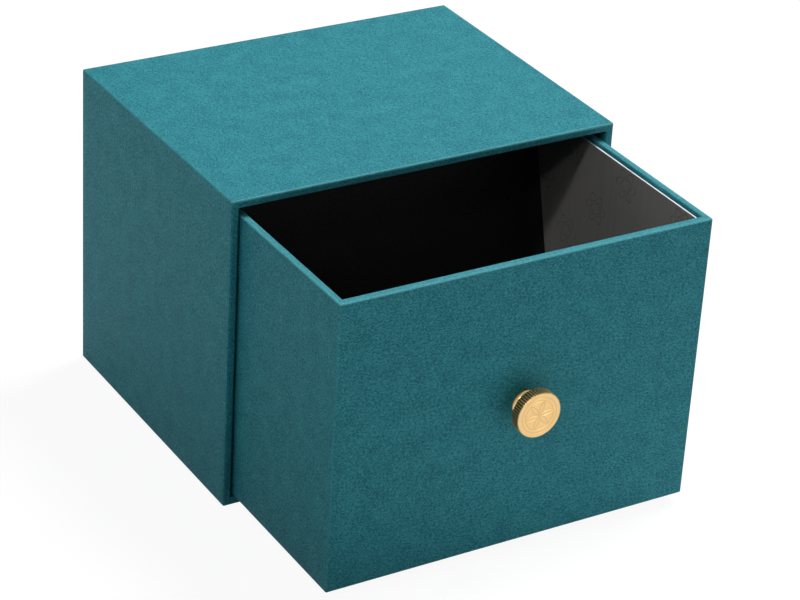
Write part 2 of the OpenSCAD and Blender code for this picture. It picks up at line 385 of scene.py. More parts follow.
@dataclass(frozen=True)
class CloudyFinish:
    """What the plainer finishes share: colour and relief follow one noise.

    grain is the size of its fibres or clouds. squeeze, where there is one, scales X, Y and
    Z, so fibres run along the axis with the least. speck is the colour of small specks.
    roughness rises with the clouds, or is one number all over where its two are equal.
    """

    name: str
    slot: str
    stops: Stops
    grain: float
    detail: float
    relief: float
    roughness: Pair
    distortion: float = 0.0
    squeeze: Place | None = None
    speck: str = ""
    speck_grain: float = 0.7 * MM
    speck_edge: Pair = (0.66, 0.72)
    refraction: float = 1.5
    metallic: float = 0.0

    def build(self) -> bpy.types.Material:
        """Builds the material."""
        material, tree, shader = new_material(self.name)
        place = add_node(tree, "TexCoord").outputs["Object"]
        laid = place if self.squeeze is None else add_node(tree, "Mapping", {
            "Vector": place, "Scale": self.squeeze})
        clouds = add_node(tree, "TexNoise", {
            "Vector": laid, "Scale": 1 / self.grain, "Detail": self.detail,
            "Distortion": self.distortion})
        colour = add_node(tree, "ValToRGB", [clouds], stops=self.stops)
        if self.speck:
            grit = add_node(tree, "TexNoise", {
                "Vector": place, "Scale": 1 / self.speck_grain, "Detail": 1.0})
            grit = add_node(tree, "MapRange", [grit, *self.speck_edge])
            colour = add_node(tree, "Mix", [grit, colour, linear(self.speck)],
                              data_type="RGBA")
        low, high = self.roughness
        rough = low if low == high else add_node(tree, "MapRange", [
            clouds, 0.0, 1.0, low, high])
        bump = add_node(tree, "Bump", {"Height": clouds, "Distance": self.relief})
        fill(shader, {"Base Color": colour, "Normal": bump, "Roughness": rough,
                      "IOR": self.refraction, "Metallic": self.metallic})
        return material


@dataclass(frozen=True)
class LiningPaper(CloudyFinish):
    """Uncoated black paper, dyed in the pulp: matt, with fibres a little lighter."""

    name: str = "uncoated_black_lining_paper"
    slot: str = "black_lining_paper"
    stops: Stops = ((0.40, "#202022"), (0.72, "#2C2C2E"))
    grain: float = 0.9 * MM
    detail: float = 3.0
    distortion: float = 1.2
    relief: float = 0.03 * MM
    roughness: Pair = (0.85, 0.85)
    refraction: float = 1.4


@dataclass(frozen=True)
class Greyboard(CloudyFinish):
    """Board pressed from mixed waste paper: grey, cloudy, with dark specks."""

    name: str = "pressed_recycled_greyboard"
    slot: str = "greyboard"
    stops: Stops = ((0.33, "#807A70"), (0.50, "#9A948A"), (0.66, "#ADA89E"))
    grain: float = 2.2 * MM
    detail: float = 5.0
    distortion: float = 0.8
    speck: str = "#5C564C"
    relief: float = 0.08 * MM
    roughness: Pair = (0.9, 0.9)


@dataclass(frozen=True)
class GummedTape(CloudyFinish):
    """Gummed kraft tape: brown, with fibres that run along it and a dull glaze of gum."""

    name: str = "gummed_kraft_tape"
    slot: str = "kraft_stay_tape"
    stops: Stops = ((0.35, "#9C7A52"), (0.65, "#B8956A"))
    grain: float = 0.6 * MM
    detail: float = 3.0
    squeeze: Place = (1.0, 0.25, 0.5)
    relief: float = 0.04 * MM
    roughness: Pair = (0.6, 0.6)


@dataclass(frozen=True)
class ZincPlate(CloudyFinish):
    """Cold-headed steel with bright zinc plate: bluish, faintly clouded."""

    name: str = "bright_zinc_plated_steel"
    slot: str = "zinc_plated_steel"
    stops: Stops = ((0.35, "#A2A7AD"), (0.60, "#C3C6CA"))
    grain: float = 1.1 * MM
    detail: float = 3.0
    relief: float = 0.01 * MM
    roughness: Pair = (0.22, 0.42)
    metallic: float = 1.0


@dataclass(frozen=True)
class PrintedCard:
    """Bleached card, printed grey and varnished: a soft shine, faint rolled streaks.

    Its cut edges and its back show the bluish-white core. The print has a sparse ornament of
    plain six-petal blossoms in a darker tone of the same grey. The ink is written light,
    because the card stands in the drawer's shade.
    """

    name: str = "varnished_grey_printed_card"
    slot: str = "grey_printed_card"
    ink_dark: str = "#A3A19C"
    ink: str = "#A9A7A2"
    blossom: str = "#5A5854"
    core: str = "#DFF4F5"
    blossom_share: float = 0.6
    tile: float = 26 * MM
    first_at: Pair = (-75.5 * MM, 70 * MM)
    petal: float = 4.6 * MM
    waist: float = 0.55
    inner: float = 0.52
    line: float = 0.22 * MM
    line_edge: Pair = (0.5, 1.1)
    streak: float = 1.3 * MM
    streak_squeeze: Place = (1.0, 1.0, 0.06)
    relief: float = 0.02 * MM
    varnished: float = 0.42
    bare: float = 0.85

    def ornament(self, tree: bpy.types.NodeTree, place: bpy.types.NodeSocket,
                 shift: float) -> bpy.types.Node:
        """Draws one set of blossoms, a tile apart, each an outline and a smaller one.

        An outline lies where the distance from the tile's middle is petal times
        waist + (1 - waist) |cos 3a|, with a the angle about the middle.

        Args:
            tree: the material's node tree.
            place: places on the card, in metres.
            shift: how far to the front and down the set lies from the first one.

        Returns:
            A node that gives 1 on a line and 0 off it.
        """
        y, z = self.first_at
        moved = add_node(tree, "Mapping", {
            "Vector": place, "Location": (0, shift - y, shift - z)})
        tiled = add_node(tree, "VectorMath", [
            moved, (self.tile / 2,) * 3, (-self.tile / 2,) * 3], operation="WRAP")
        part = add_node(tree, "SeparateXYZ", [tiled]).outputs
        angle = add_node(tree, "Math", [part["Z"], part["Y"]], operation="ARCTAN2")
        wave = add_node(tree, "Math", [angle, 3.0], operation="MULTIPLY")
        for operation in ("COSINE", "ABSOLUTE"):
            wave = add_node(tree, "Math", [wave], operation=operation)
        reach = add_node(tree, "Math", [
            wave, (1 - self.waist) * self.petal, self.waist * self.petal],
            operation="MULTIPLY_ADD")
        flat = add_node(tree, "CombineXYZ", {"Y": part["Y"], "Z": part["Z"]})
        away = add_node(tree, "VectorMath", [flat], operation="LENGTH")
        outlines = []
        for scale in (1.0, self.inner):
            off = add_node(tree, "Math", [reach, scale], operation="MULTIPLY")
            off = add_node(tree, "Math", [away, off], operation="SUBTRACT")
            off = add_node(tree, "Math", [off], operation="ABSOLUTE")
            outlines.append(add_node(tree, "MapRange", [
                off, *(self.line * edge for edge in self.line_edge), 1.0, 0.0]))
        return add_node(tree, "Math", outlines, operation="MAXIMUM")

    def build(self) -> bpy.types.Material:
        """Builds the material. The attribute cut is 1 where the core shows."""
        material, tree, shader = new_material(self.name)
        place = add_node(tree, "TexCoord").outputs["Object"]
        laid = add_node(tree, "Mapping", {
            "Vector": place, "Scale": self.streak_squeeze})
        streaks = add_node(tree, "TexNoise", {
            "Vector": laid, "Scale": 1 / self.streak, "Detail": 2.0})
        colour = add_node(tree, "ValToRGB", [streaks], stops=(
            (0.35, self.ink_dark), (0.65, self.ink)))
        sets = [self.ornament(tree, place, shift) for shift in (0.0, self.tile / 2)]
        lines = add_node(tree, "Math", sets, operation="MAXIMUM")
        lines = add_node(tree, "Math", [lines, self.blossom_share], operation="MULTIPLY")
        colour = add_node(tree, "Mix", [lines, colour, linear(self.blossom)],
                          data_type="RGBA")
        cut = add_node(tree, "Attribute", attribute_name="cut").outputs["Fac"]
        colour = add_node(tree, "Mix", [cut, colour, linear(self.core)], data_type="RGBA")
        rough = add_node(tree, "MapRange", [cut, 0.0, 1.0, self.varnished, self.bare])
        bump = add_node(tree, "Bump", {"Height": streaks, "Distance": self.relief})
        fill(shader, {"Base Color": colour, "Roughness": rough, "Normal": bump})
        return material


@dataclass(frozen=True)
class TurnedBrass:
    """Yellow brass, turned on a lathe: fine rings round the axis, a satin face.

    The face and neck carry turning marks and faint dull smudges. The knurl's flanks are cut
    rough and scatter light; its valleys and the face's engraved lines are painted dark and
    less metallic, as painted shade.
    """

    name: str = "turned_yellow_brass"
    slot: str = "gold_brass"
    body: str = "#EFC98C"
    dull: str = "#E3B873"
    # Colour of the painted shade in the knurl's grooves and the engraved lines
    painted_shade: str = "#33200A"
    centre: Place = (KNOB_AT[0], 0.0, KNOB_AT[1])
    # Turning marks are about 0.05 mm apart; they are drawn at 0.2 mm so that they show
    ring: float = 0.2 * MM
    smudge: float = 2.5 * MM
    dull_from: Pair = (0.45, 0.75)
    dull_share: float = 0.35
    satin_from: Pair = (0.3, 0.7)
    roughness: Pair = (0.26, 0.36)
    relief: float = 0.006 * MM
    # How much less metallic the knurl is, and the parts under painted shade
    knurl_scatter: float = 0.35
    shade_scatter: float = 0.25

    def build(self) -> bpy.types.Material:
        """Builds the material, with the attributes knurl and the painted groove shade from the
        mesh.
        """
        material, tree, shader = new_material(self.name)
        place = add_node(tree, "TexCoord").outputs["Object"]
        moved = add_node(tree, "VectorMath", [place, self.centre], operation="SUBTRACT")
        flat = add_node(tree, "VectorMath", [moved, (1, 0, 1)], operation="MULTIPLY")
        away = add_node(tree, "VectorMath", [flat], operation="LENGTH")
        part = add_node(tree, "SeparateXYZ", [moved])
        along = add_node(tree, "Math", [away, part.outputs["Y"]])
        rings = add_node(tree, "TexNoise", {
            "W": along, "Scale": 1 / self.ring, "Detail": 2.0}, noise_dimensions="1D")
        smudge = add_node(tree, "TexNoise", {
            "Vector": place, "Scale": 1 / self.smudge, "Detail": 3.0})
        tint = add_node(tree, "MapRange", [
            smudge, *self.dull_from, 0.0, self.dull_share])
        colour = add_node(tree, "Mix", [tint, linear(self.body), linear(self.dull)],
                          data_type="RGBA")
        groove_shade, knurl = (add_node(tree, "Attribute", attribute_name=name).outputs["Fac"]
                        for name in ("groove_shade", "knurl"))
        # Grooves and engraved lines painted dark: painted shade
        colour = add_node(tree, "Mix", [groove_shade, colour, linear(self.painted_shade)],
                          data_type="RGBA")
        rough = add_node(tree, "MapRange", [smudge, *self.satin_from, *self.roughness])
        height = add_node(tree, "Math", [rings, smudge])
        bump = add_node(tree, "Bump", {"Height": height, "Distance": self.relief})
        bare = add_node(tree, "Math", [knurl, -self.knurl_scatter, 1.0],
                        operation="MULTIPLY_ADD")
        bare = add_node(tree, "Math", [groove_shade, -self.shade_scatter, bare],
                        operation="MULTIPLY_ADD")
        fill(shader, {"Base Color": colour, "Roughness": rough, "Normal": bump,
                      "Metallic": bare})
        return material


# ---- folded papers ----

class Around(Enum):
    """Axes of a wrap: the two of its walls' plan, and the one along the tube."""

    SLEEVE = (0, 2, 1)
    DRAWER = (0, 1, 2)


class Skin(IntEnum):
    """What a row of a wrap lies on: the board side, a fold, the flat outside, the open end."""

    BOARD = -1
    FOLD = 0
    OUTSIDE = 1
    END = 2


@dataclass(frozen=True)
class WearAndHighlight:
    """How much a wrap's folds are painted lighter, from 0 for none to 1: partly rubbed wear,
    partly painted highlight along the lit edges.

    end is for the open end's flat face, corner for the upright folds and mitre for the
    overlap on the end. sides is the share of it all that is left away from the far side;
    on the sleeve, whose far side is the top, it keeps the painted highlight on the top's folds.
    """

    hem: float = 0.4
    mouth: float = 0.8
    end: float = 0.0
    inner: float = 0.25
    corner: float = 0.3
    mitre: float = 0.9
    sides: float = 1.0


@dataclass
class PaperedBox:
    """What the sleeve and the drawer share: board walls with paper folded round them.

    The wall's thickness has the paper on both faces in it. The hem ends hem_end in from the
    outside, and the turn-in ends turn_in down from the open end. corner and bend are the
    radii of the upright folds and of the folds along the ends.
    """

    half_width: float
    wall: float
    corner: float
    bend: float
    wear_and_highlight: WearAndHighlight
    paper: float = 0.2 * MM
    turn_in: float = 14.2 * MM
    hem_end: float = 12.2 * MM
    first_column: float = 0.4 * MM

    def side_columns(self, length: float, special: tuple[float, ...] = ()) -> np.ndarray:
        """Columns of one side of a wrap, closer together next to its corners.

        Args:
            length: length of the side on the outside.
            special: places, from the side's start, that have to have a column.

        Returns:
            Shares of the way between the two round corners, from 0 to 1.
        """
        between, near = length - 2 * self.corner, self.first_column
        inner = marks(GRID_STEP / 2, between - GRID_STEP / 2, GRID_STEP,
                      tuple(place - self.corner for place in special))
        return np.concatenate([[0, near], inner, [between - near, between]]) / between


@dataclass
class Window:
    """A hole through both faces of a wrap, between two grid lines each way.

    A round one has its rim moved onto a circle. The board side's rows run the other way.
    """

    columns: tuple[int, int]
    rows: tuple[int, int]
    board_rows: tuple[int, int]
    radius: float = 0.0


@dataclass
class Profile:
    """Rows of a wrap: the paper's cut edge, hem, outside, open end, turn-in, board side.

    Each row has its inset from the outside and its place along the tube. extra adds to the
    inset on the far side, fold says how much a row is painted lighter, as rubbed wear and
    painted highlight, and skin what it lies on.
    """

    # Rows on the board side of the hem, which are the last ones
    HEM_BACK: ClassVar[int] = 5

    rows: np.ndarray
    extra: np.ndarray
    fold: np.ndarray
    skin: np.ndarray

    @classmethod
    def around_boards(cls, box: PaperedBox, ends: Pair, places: np.ndarray,
                      wider: float = 0.0) -> Profile:
        """Works out the rows, as straight runs between quarter circles.

        Args:
            box: the box with its wall and paper.
            ends: places of the hem's and the open end's outsides.
            places: rows on the outside, from the hem to the open end.
            wider: how much thicker the far side's wall is.

        Returns:
            The rows.
        """
        hem, mouth = ends
        wall, paper, bend, hem_end, wear_and_highlight = (box.wall, box.paper, box.bend, box.hem_end,
                                            box.wear_and_highlight)
        s = float(np.sign(mouth - hem))
        turn_end = mouth - s * box.turn_in
        outside = np.stack([np.zeros(len(places)), places], axis=1)
        inner, board_mouth, board_hem = wall - paper, mouth - s * paper, hem + s * paper
        parts = [
            (Skin.FOLD, 0.0, [(hem_end, hem)]),
            (Skin.FOLD, 0.0, run((hem_end, hem), (bend, hem), 5)),
            (Skin.FOLD, wear_and_highlight.hem, arc((bend, hem + s * bend), bend, -90 * s, -180 * s, 5)[:-1]),
            (Skin.OUTSIDE, 0.0, outside),
            (Skin.FOLD, wear_and_highlight.mouth,
             arc((bend, mouth - s * bend), bend, 180 * s, 90 * s, 5)[1:]),
            (Skin.END, wear_and_highlight.end, run((bend, mouth), (wall - bend, mouth), 4)),
            (Skin.FOLD, wear_and_highlight.inner,
             arc((wall - bend, mouth - s * bend), bend, 90 * s, 0, 5)),
            (Skin.FOLD, 0.0, run((wall, mouth - s * bend), (wall, turn_end), 6)),
            (Skin.FOLD, 0.0, [(wall, turn_end)]),
            (Skin.BOARD, 0.0, [(inner, turn_end)]),
            (Skin.BOARD, 0.0, run((inner, turn_end), (inner, board_mouth), 4)),
            (Skin.BOARD, 0.0, [(inner, board_mouth), (paper, board_mouth)]),
            (Skin.BOARD, 0.0, outside[::-1] + [paper, 0]),
            (Skin.BOARD, 0.0, [(paper, board_hem)]),
            (Skin.BOARD, 0.0, run((paper, board_hem), (hem_end, board_hem), 4)),
            (Skin.BOARD, 0.0, [(hem_end, board_hem)]),
        ]
        rows = np.concatenate([part for _, _, part in parts])
        skin = np.concatenate([np.full(len(part), kind) for kind, _, part in parts])
        fold = np.concatenate([np.full(len(part), rub_highlight_share) for _, rub_highlight_share, part in parts])
        share = np.clip((rows[:, 0] - bend) / (wall - 2 * bend), 0, 1)
        count = np.arange(len(rows))
        on_hem = (count < np.argmax(skin == Skin.OUTSIDE)) | (count >= len(rows) - cls.HEM_BACK)
        return cls(rows, np.where(on_hem, 0.0, wider * share), fold, skin)

    def rows_at(self, place: float) -> tuple[int, int]:
        """Rows of the outside and of the board side that are nearest to a place."""
        out = np.flatnonzero(self.skin == Skin.OUTSIDE)
        nearest = int(np.argmin(np.abs(self.rows[out, 1] - place)))
        return int(out[nearest]), len(self.rows) - self.HEM_BACK - 1 - nearest


@dataclass
class FoldedWrap:
    """Paper round a box of boards, as one closed skin.

    Columns run round the box and rows along the profile. Each row is a rectangle with
    round corners, set in from the box's outside by the row's inset.
    """

    name: str
    box: PaperedBox
    around: Around
    low: Pair
    high: Pair
    profile: Profile
    near: np.ndarray
    sides: np.ndarray
    far: np.ndarray
    seed: int
    board_corner: float = 0.03 * MM
    least_corner: float = 0.12 * MM
    ripple: float = 0.05 * MM
    ripple_wave: float = 70 * MM
    ripple_margin: float = 6 * MM
    overlap: float = 0.04 * MM
    windows: list[Window] = field(default_factory=list)

    def columns(self) -> np.ndarray:
        """Works out the columns, once round from the start of the near side.

        Returns:
            For each column its share across and up, and the two parts of its way out. On a
            corner the shares stay and the way out turns by 90 degrees.
        """
        turn = np.radians(np.linspace(0, 90, 6))[1:-1]
        sin, cos, one, zero = np.sin(turn), np.cos(turn), np.ones(4), np.zeros(4)
        up, back = self.sides, self.far[::-1]
        parts = [
            (self.near, 0 * self.near, 0 * self.near, 0 * self.near - 1),
            (one, zero, sin, -cos),
            (0 * up + 1, up, 0 * up + 1, 0 * up),
            (one, one, cos, sin),
            (back, 0 * back + 1, 0 * back, 0 * back + 1),
            (zero, one, -sin, cos),
            (0 * up, up[::-1], 0 * up - 1, 0 * up),
            (zero, zero, -cos, -sin),
        ]
        return np.stack([np.concatenate(column) for column in zip(*parts)])

    def grid(self) -> tuple[np.ndarray, np.ndarray, np.ndarray]:
        """Works out the skin.

        A point is its row's inset corner, plus its share of the side, plus the corner
        radius along the way out. The flat outside sinks by up to the ripple.

        Returns:
            Points by row and column, places on the flat paper with one more row and
            column, and how much each point is painted lighter on a fold, as rubbed wear and
            painted highlight.
        """
        share_a, share_b, out_a, out_b = self.columns()
        corner, wear_and_highlight, skin = self.box.corner, self.box.wear_and_highlight, self.profile.skin
        inset, along = self.profile.rows.T
        rise = float(np.sign(self.high[1] - self.low[1]))
        radius = np.where(skin == Skin.BOARD, self.board_corner,
                          np.maximum(corner - inset, self.least_corner))
        margin = np.maximum(radius, corner - inset)
        sides = []
        for low, high, sign, share, out, extra in (
            (self.low[0], self.high[0], 1.0, share_a, out_a, 0.0),
            (self.low[1], self.high[1], rise, share_b, out_b, self.profile.extra),
        ):
            start, end = low + sign * inset, high - sign * (inset + extra)
            gap = sign * np.where(out != 0, radius[:, None], margin[:, None])
            sides.append(start[:, None] + gap + share * ((end - start)[:, None] - 2 * gap)
                         + sign * radius[:, None] * out)
        a, b = sides
        points = np.zeros((*a.shape, 3))
        axis_a, axis_b, axis_along = self.around.value
        points[..., axis_a], points[..., axis_b] = a, b
        points[..., axis_along] = along[:, None]
        way = np.zeros(points.shape[1:])
        way[:, axis_a], way[:, axis_b] = out_a, rise * out_b
        straight = np.maximum(np.abs(out_a), np.abs(out_b)) == 1
        outside = skin == Skin.OUTSIDE
        ends = np.sort(along[outside][[0, -1]])
        fade = np.minimum(along - ends[0], ends[1] - along) / self.ripple_margin
        sink = self.ripple * (0.5 + 0.5 * waves(points, self.ripple_wave, self.seed))
        sink *= (np.clip(fade, 0, 1) * outside)[:, None] * straight
        points -= way * sink[..., None]
        # One flap of paper lies on the other where they meet, so the mitre stands proud
        mitre = np.ix_(skin == Skin.END, ~straight)
        lift = np.zeros(a.shape)
        lift[mitre] = self.overlap * np.sign(along[skin == Skin.END][0] - along[outside][0])
        points[..., axis_along] += lift
        first = int(np.argmax(outside))
        ring = np.stack([a[first], b[first]], axis=1)
        flat_place = np.stack(np.broadcast_arrays(
            self.walked(ring)[None, :], self.walked(self.profile.rows)[:, None]), axis=-1)
        # Folds painted lighter, partly as rubbed wear and partly as painted highlight; away
        # from the far side only the sides' share stays
        rub_and_highlight = np.broadcast_to(self.profile.fold[:, None], a.shape).copy()
        rub_and_highlight[np.ix_(outside, ~straight)] = wear_and_highlight.corner
        rub_and_highlight[mitre] = wear_and_highlight.mitre
        rub_and_highlight *= np.where(out_b > 0, 1.0, wear_and_highlight.sides)
        return points, flat_place, rub_and_highlight

    @staticmethod
    def walked(line: np.ndarray) -> np.ndarray:
        """Distance walked along a closed line up to each of its points, and all round."""
        step = np.linalg.norm(np.diff(line, axis=0, append=line[:1]), axis=1)
        return np.concatenate([[0], np.cumsum(step)])

    def build(self) -> bpy.types.Object:
        """Builds the skin, cuts its windows and joins their rims through the paper."""
        points, flat_place, rub_and_highlight = self.grid()
        rows, columns = rub_and_highlight.shape
        i, j = np.indices((rows, columns))
        index = i * columns + j
        ahead, beside = (i + 1) % rows, (j + 1) % columns
        quads = np.stack([index, index[ahead, j], index[ahead, beside], index[i, beside]],
                         axis=-1)
        uv = np.stack([flat_place[i, j], flat_place[i + 1, j], flat_place[i + 1, j + 1],
                       flat_place[i, j + 1]], axis=-2)
        kept = np.ones((rows, columns), bool)
        flat = points.reshape(-1, 3)
        walls, walls_uv = [], []
        for window in self.windows:
            left, right = window.columns
            across = np.arange(left, right + 1)
            rims = []
            for start, end in (window.rows, window.board_rows):
                kept[min(start, end):max(start, end), left:right] = False
                down = np.arange(start, end + np.sign(end - start), np.sign(end - start))
                rim = np.concatenate([index[start, across[:-1]], index[down[:-1], right],
                                      index[end, across[:0:-1]], index[down[:0:-1], left]])
                if window.radius:
                    middle = (flat[rim].min(axis=0) + flat[rim].max(axis=0)) / 2
                    away = flat[rim] - middle
                    reach = window.radius / np.linalg.norm(away, axis=1)
                    flat[rim] = middle + away * reach[:, None]
                rims.append(rim)
            front, board = rims
            wall = np.stack([board, np.roll(board, -1), np.roll(front, -1), front], axis=-1)
            walls.append(wall)
            walls_uv.append(flat_place[:-1, :-1].reshape(-1, 2)[wall])
        faces = np.concatenate([quads[kept], *walls])
        used, faces = np.unique(faces, return_inverse=True)
        return make_mesh(self.name, flat[used], faces.reshape(-1, 4),
                         {"fold": rub_and_highlight.ravel()[used]},
                         np.concatenate([uv[kept], *walls_uv]))


# ---- sub-assemblies ----

def place_piece(piece: bpy.types.Object, body: str, slot: str, *nodes: str) -> None:
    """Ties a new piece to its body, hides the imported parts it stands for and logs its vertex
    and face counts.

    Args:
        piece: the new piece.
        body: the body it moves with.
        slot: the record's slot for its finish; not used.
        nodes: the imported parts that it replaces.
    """
    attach(piece, body)
    if nodes:
        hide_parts(*nodes)
    LOG.info("%s: %d vertices, %d faces, rides on %s", piece.name,
             len(piece.data.vertices), len(piece.data.polygons), body)


@dataclass(frozen=True)
class Palette:
    """All the finishes of the box."""

    paper: EmbossedPaper = EmbossedPaper()
    lining: LiningPaper = LiningPaper()
    board: Greyboard = Greyboard()
    tape: GummedTape = GummedTape()
    card: PrintedCard = PrintedCard()
    brass: TurnedBrass = TurnedBrass()
    zinc: ZincPlate = ZincPlate()


@dataclass
class Sleeve(PaperedBox):
    """The five-sided sleeve: its folded wrap is new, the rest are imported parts."""

    half_width: float = 60 * MM
    wall: float = 2.4 * MM
    corner: float = 0.6 * MM
    bend: float = 0.52 * MM
    # Only the top's folds keep the full painted highlight; the sides and underside keep a
    # quarter of it
    wear_and_highlight: WearAndHighlight = WearAndHighlight(sides=0.25)
    mouth: float = -46 * MM
    back: float = 45.8 * MM
    bottom: float = 0.2 * MM
    top: float = 94 * MM

    def build_wrap(self) -> bpy.types.Object:
        """Builds the wrap, with the window underneath that the base sheet's pad fills."""
        w, hem = self.half_width, self.hem_end
        window_x, window_y = (hem, 2 * w - hem), (self.back - hem, self.mouth + hem)
        places = marks(self.mouth + self.bend, self.back - self.bend, GRID_STEP,
                       window_y[::-1])
        profile = Profile.around_boards(self, (self.back, self.mouth), places[::-1])
        near = self.side_columns(2 * w, window_x)
        place_x = self.corner + near * 2 * (w - self.corner)
        left, right = (int(np.argmin(np.abs(place_x - place))) for place in window_x)
        starts, ends = (profile.rows_at(place) for place in window_y)
        return FoldedWrap(
            name="sleeve_folded_wrap", box=self, around=Around.SLEEVE,
            low=(-w, self.bottom), high=(w, self.top), profile=profile, near=near,
            sides=self.side_columns(self.top - self.bottom), far=self.side_columns(2 * w),
            seed=11, windows=[Window((left, right), *zip(starts, ends))]).build()

    def build(self, nodes: dict[str, bpy.types.Object], palette: Palette) -> None:
        """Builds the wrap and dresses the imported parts.

        Args:
            nodes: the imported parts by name.
            palette: the finishes.
        """
        wrap = self.build_wrap()
        dress(wrap, palette.paper.build(Pattern.FOLDED))
        place_piece(wrap, "sleeve", palette.paper.slot, "sleeve_wrap")
        dress(nodes["sleeve_base_sheet"], palette.paper.build(Pattern.LYING))
        dress(nodes["sleeve_back_sheet"], palette.paper.build(Pattern.UPRIGHT))
        dress(nodes["sleeve_lining"], palette.lining.build())
        board, tape = palette.board.build(), palette.tape.build()
        for side in ("top", "bottom", "left", "right", "back"):
            dress(nodes[f"sleeve_{side}_board"], board)
        dress(nodes["sleeve_edge_stays"], tape)


@dataclass
class Drawer(PaperedBox):
    """The drawer's tray: its folded wrap is new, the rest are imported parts."""

    half_width: float = 56.89 * MM
    wall: float = 2.2 * MM
    corner: float = 0.55 * MM
    bend: float = 0.45 * MM
    # The rims' top faces are painted lighter too, partly as rubbed wear and partly as painted
    # highlight
    wear_and_highlight: WearAndHighlight = WearAndHighlight(end=0.35)
    front: float = FRONT
    back: float = -9.56 * MM
    bottom: float = 3.06 * MM
    rim: float = 89.04 * MM
    front_wider: float = 0.4 * MM
    hole: Pair = KNOB_AT
    hole_radius: float = 1.65 * MM
    # Half the square of grid lines that becomes the hole's circle, against its radius
    hole_square: float = 0.88

    def build_wrap(self) -> bpy.types.Object:
        """Builds the wrap, with the screw's hole through the front."""
        w = self.half_width
        spread = self.hole_square * self.hole_radius * np.linspace(-1, 1, 5)
        rows_z = tuple(self.hole[1] + spread)
        places = marks(self.bottom + self.bend, self.rim - self.bend, GRID_STEP, rows_z)
        profile = Profile.around_boards(self, (self.bottom, self.rim), places,
                                        self.front_wider)
        wrap = FoldedWrap(
            name="drawer_folded_wrap", box=self, around=Around.DRAWER,
            low=(-w, self.back), high=(w, self.front), profile=profile,
            near=self.side_columns(2 * w), sides=self.side_columns(self.back - self.front),
            far=self.side_columns(2 * w, tuple(self.hole[0] + spread + w)), seed=23)
        share_a, _, _, out_b = wrap.columns()
        place_a = -w + self.corner + share_a * 2 * (w - self.corner)
        on_front = np.flatnonzero(out_b == 1)
        left, right = sorted(
            int(on_front[np.argmin(np.abs(place_a[on_front] - self.hole[0] - off))])
            for off in (spread[0], spread[-1]))
        starts, ends = profile.rows_at(rows_z[0]), profile.rows_at(rows_z[-1])
        wrap.windows = [Window((left, right), *zip(starts, ends), self.hole_radius)]
        return wrap.build()

    def build(self, nodes: dict[str, bpy.types.Object], palette: Palette) -> None:
        """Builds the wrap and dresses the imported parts.

        Args:
            nodes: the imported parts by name.
            palette: the finishes.
        """
        wrap = self.build_wrap()
        dress(wrap, palette.paper.build(Pattern.FOLDED))
        place_piece(wrap, "drawer", palette.paper.slot, "drawer_wrap")
        dress(nodes["drawer_base_sheet"], palette.paper.build(Pattern.LYING))
        lining = palette.lining.build()
        for part in ("wall", "floor"):
            dress(nodes[f"drawer_{part}_lining"], lining)
        board = palette.board.build()
        for side in ("floor", "front", "back", "left", "right"):
            dress(nodes[f"drawer_{side}_board"], board)
        dress(nodes["drawer_corner_stays"], palette.tape.build())


@dataclass
class LinerCard:
    """The loose printed card that stands against the drawer's right wall."""

    face: float = 53.93 * MM
    thick: float = 0.5 * MM
    front: float = -95.14 * MM
    rear_low: float = -37.51 * MM
    rear_high: float = -15.32 * MM
    bottom: float = 5.22 * MM
    top: float = 88.04 * MM
    bevel: float = 0.03 * MM
    grid: tuple[int, int] = (28, 30)
    # How much of the white core the unprinted side shows
    unprinted: float = 0.9

    def layer(self, x: float, inset: float) -> np.ndarray:
        """Works out one layer of the card.

        Along the rows the height rises evenly; along the columns the place goes from the
        front edge to the slanted rear edge at that height.

        Args:
            x: where the layer is, across the box.
            inset: how far its outline is set in.

        Returns:
            Points by place and height.
        """
        s, t = np.meshgrid(*(np.linspace(0, 1, count) for count in self.grid), indexing="ij")
        z = self.bottom + inset + t * (self.top - self.bottom - 2 * inset)
        rear = self.rear_low + (self.rear_high - self.rear_low) * (
            (z - self.bottom) / (self.top - self.bottom)) - inset
        start = self.front + inset
        return np.stack([np.full_like(z, x), start + s * (rear - start), z], axis=-1)

    def build(self, palette: Palette) -> None:
        """Builds the card: two faces on a grid, and cut edges between their borders."""
        index = np.arange(self.grid[0] * self.grid[1]).reshape(self.grid)
        border = np.concatenate([index[:-1, 0], index[-1, :-1], index[:0:-1, -1],
                                 index[0, :0:-1]])
        size, around = index.size, len(border)
        far = self.face + self.thick
        skins = [self.layer(x, self.bevel).reshape(-1, 3) for x in (self.face, far)]
        rims = [self.layer(x, 0.0).reshape(-1, 3)[border]
                for x in (self.face + self.bevel, far - self.bevel)]
        loops = [border, 2 * size + np.arange(around), 2 * size + around + np.arange(around),
                 size + border]
        cell = np.stack([index[:-1, :-1], index[1:, :-1], index[1:, 1:], index[:-1, 1:]],
                        axis=-1).reshape(-1, 4)
        faces = [cell[:, ::-1], cell + size]
        for one, two in zip(loops[:-1], loops[1:]):
            faces.append(np.stack([one, np.roll(one, -1), np.roll(two, -1), two], axis=-1))
        cut = np.concatenate([np.zeros(size), np.full(size, self.unprinted),
                              np.ones(2 * around)])
        card = make_mesh("printed_liner_card", np.concatenate([*skins, *rims]),
                         np.concatenate(faces), {"cut": cut})
        dress(card, palette.card.build())
        place_piece(card, "drawer", palette.card.slot, "side_liner_card")


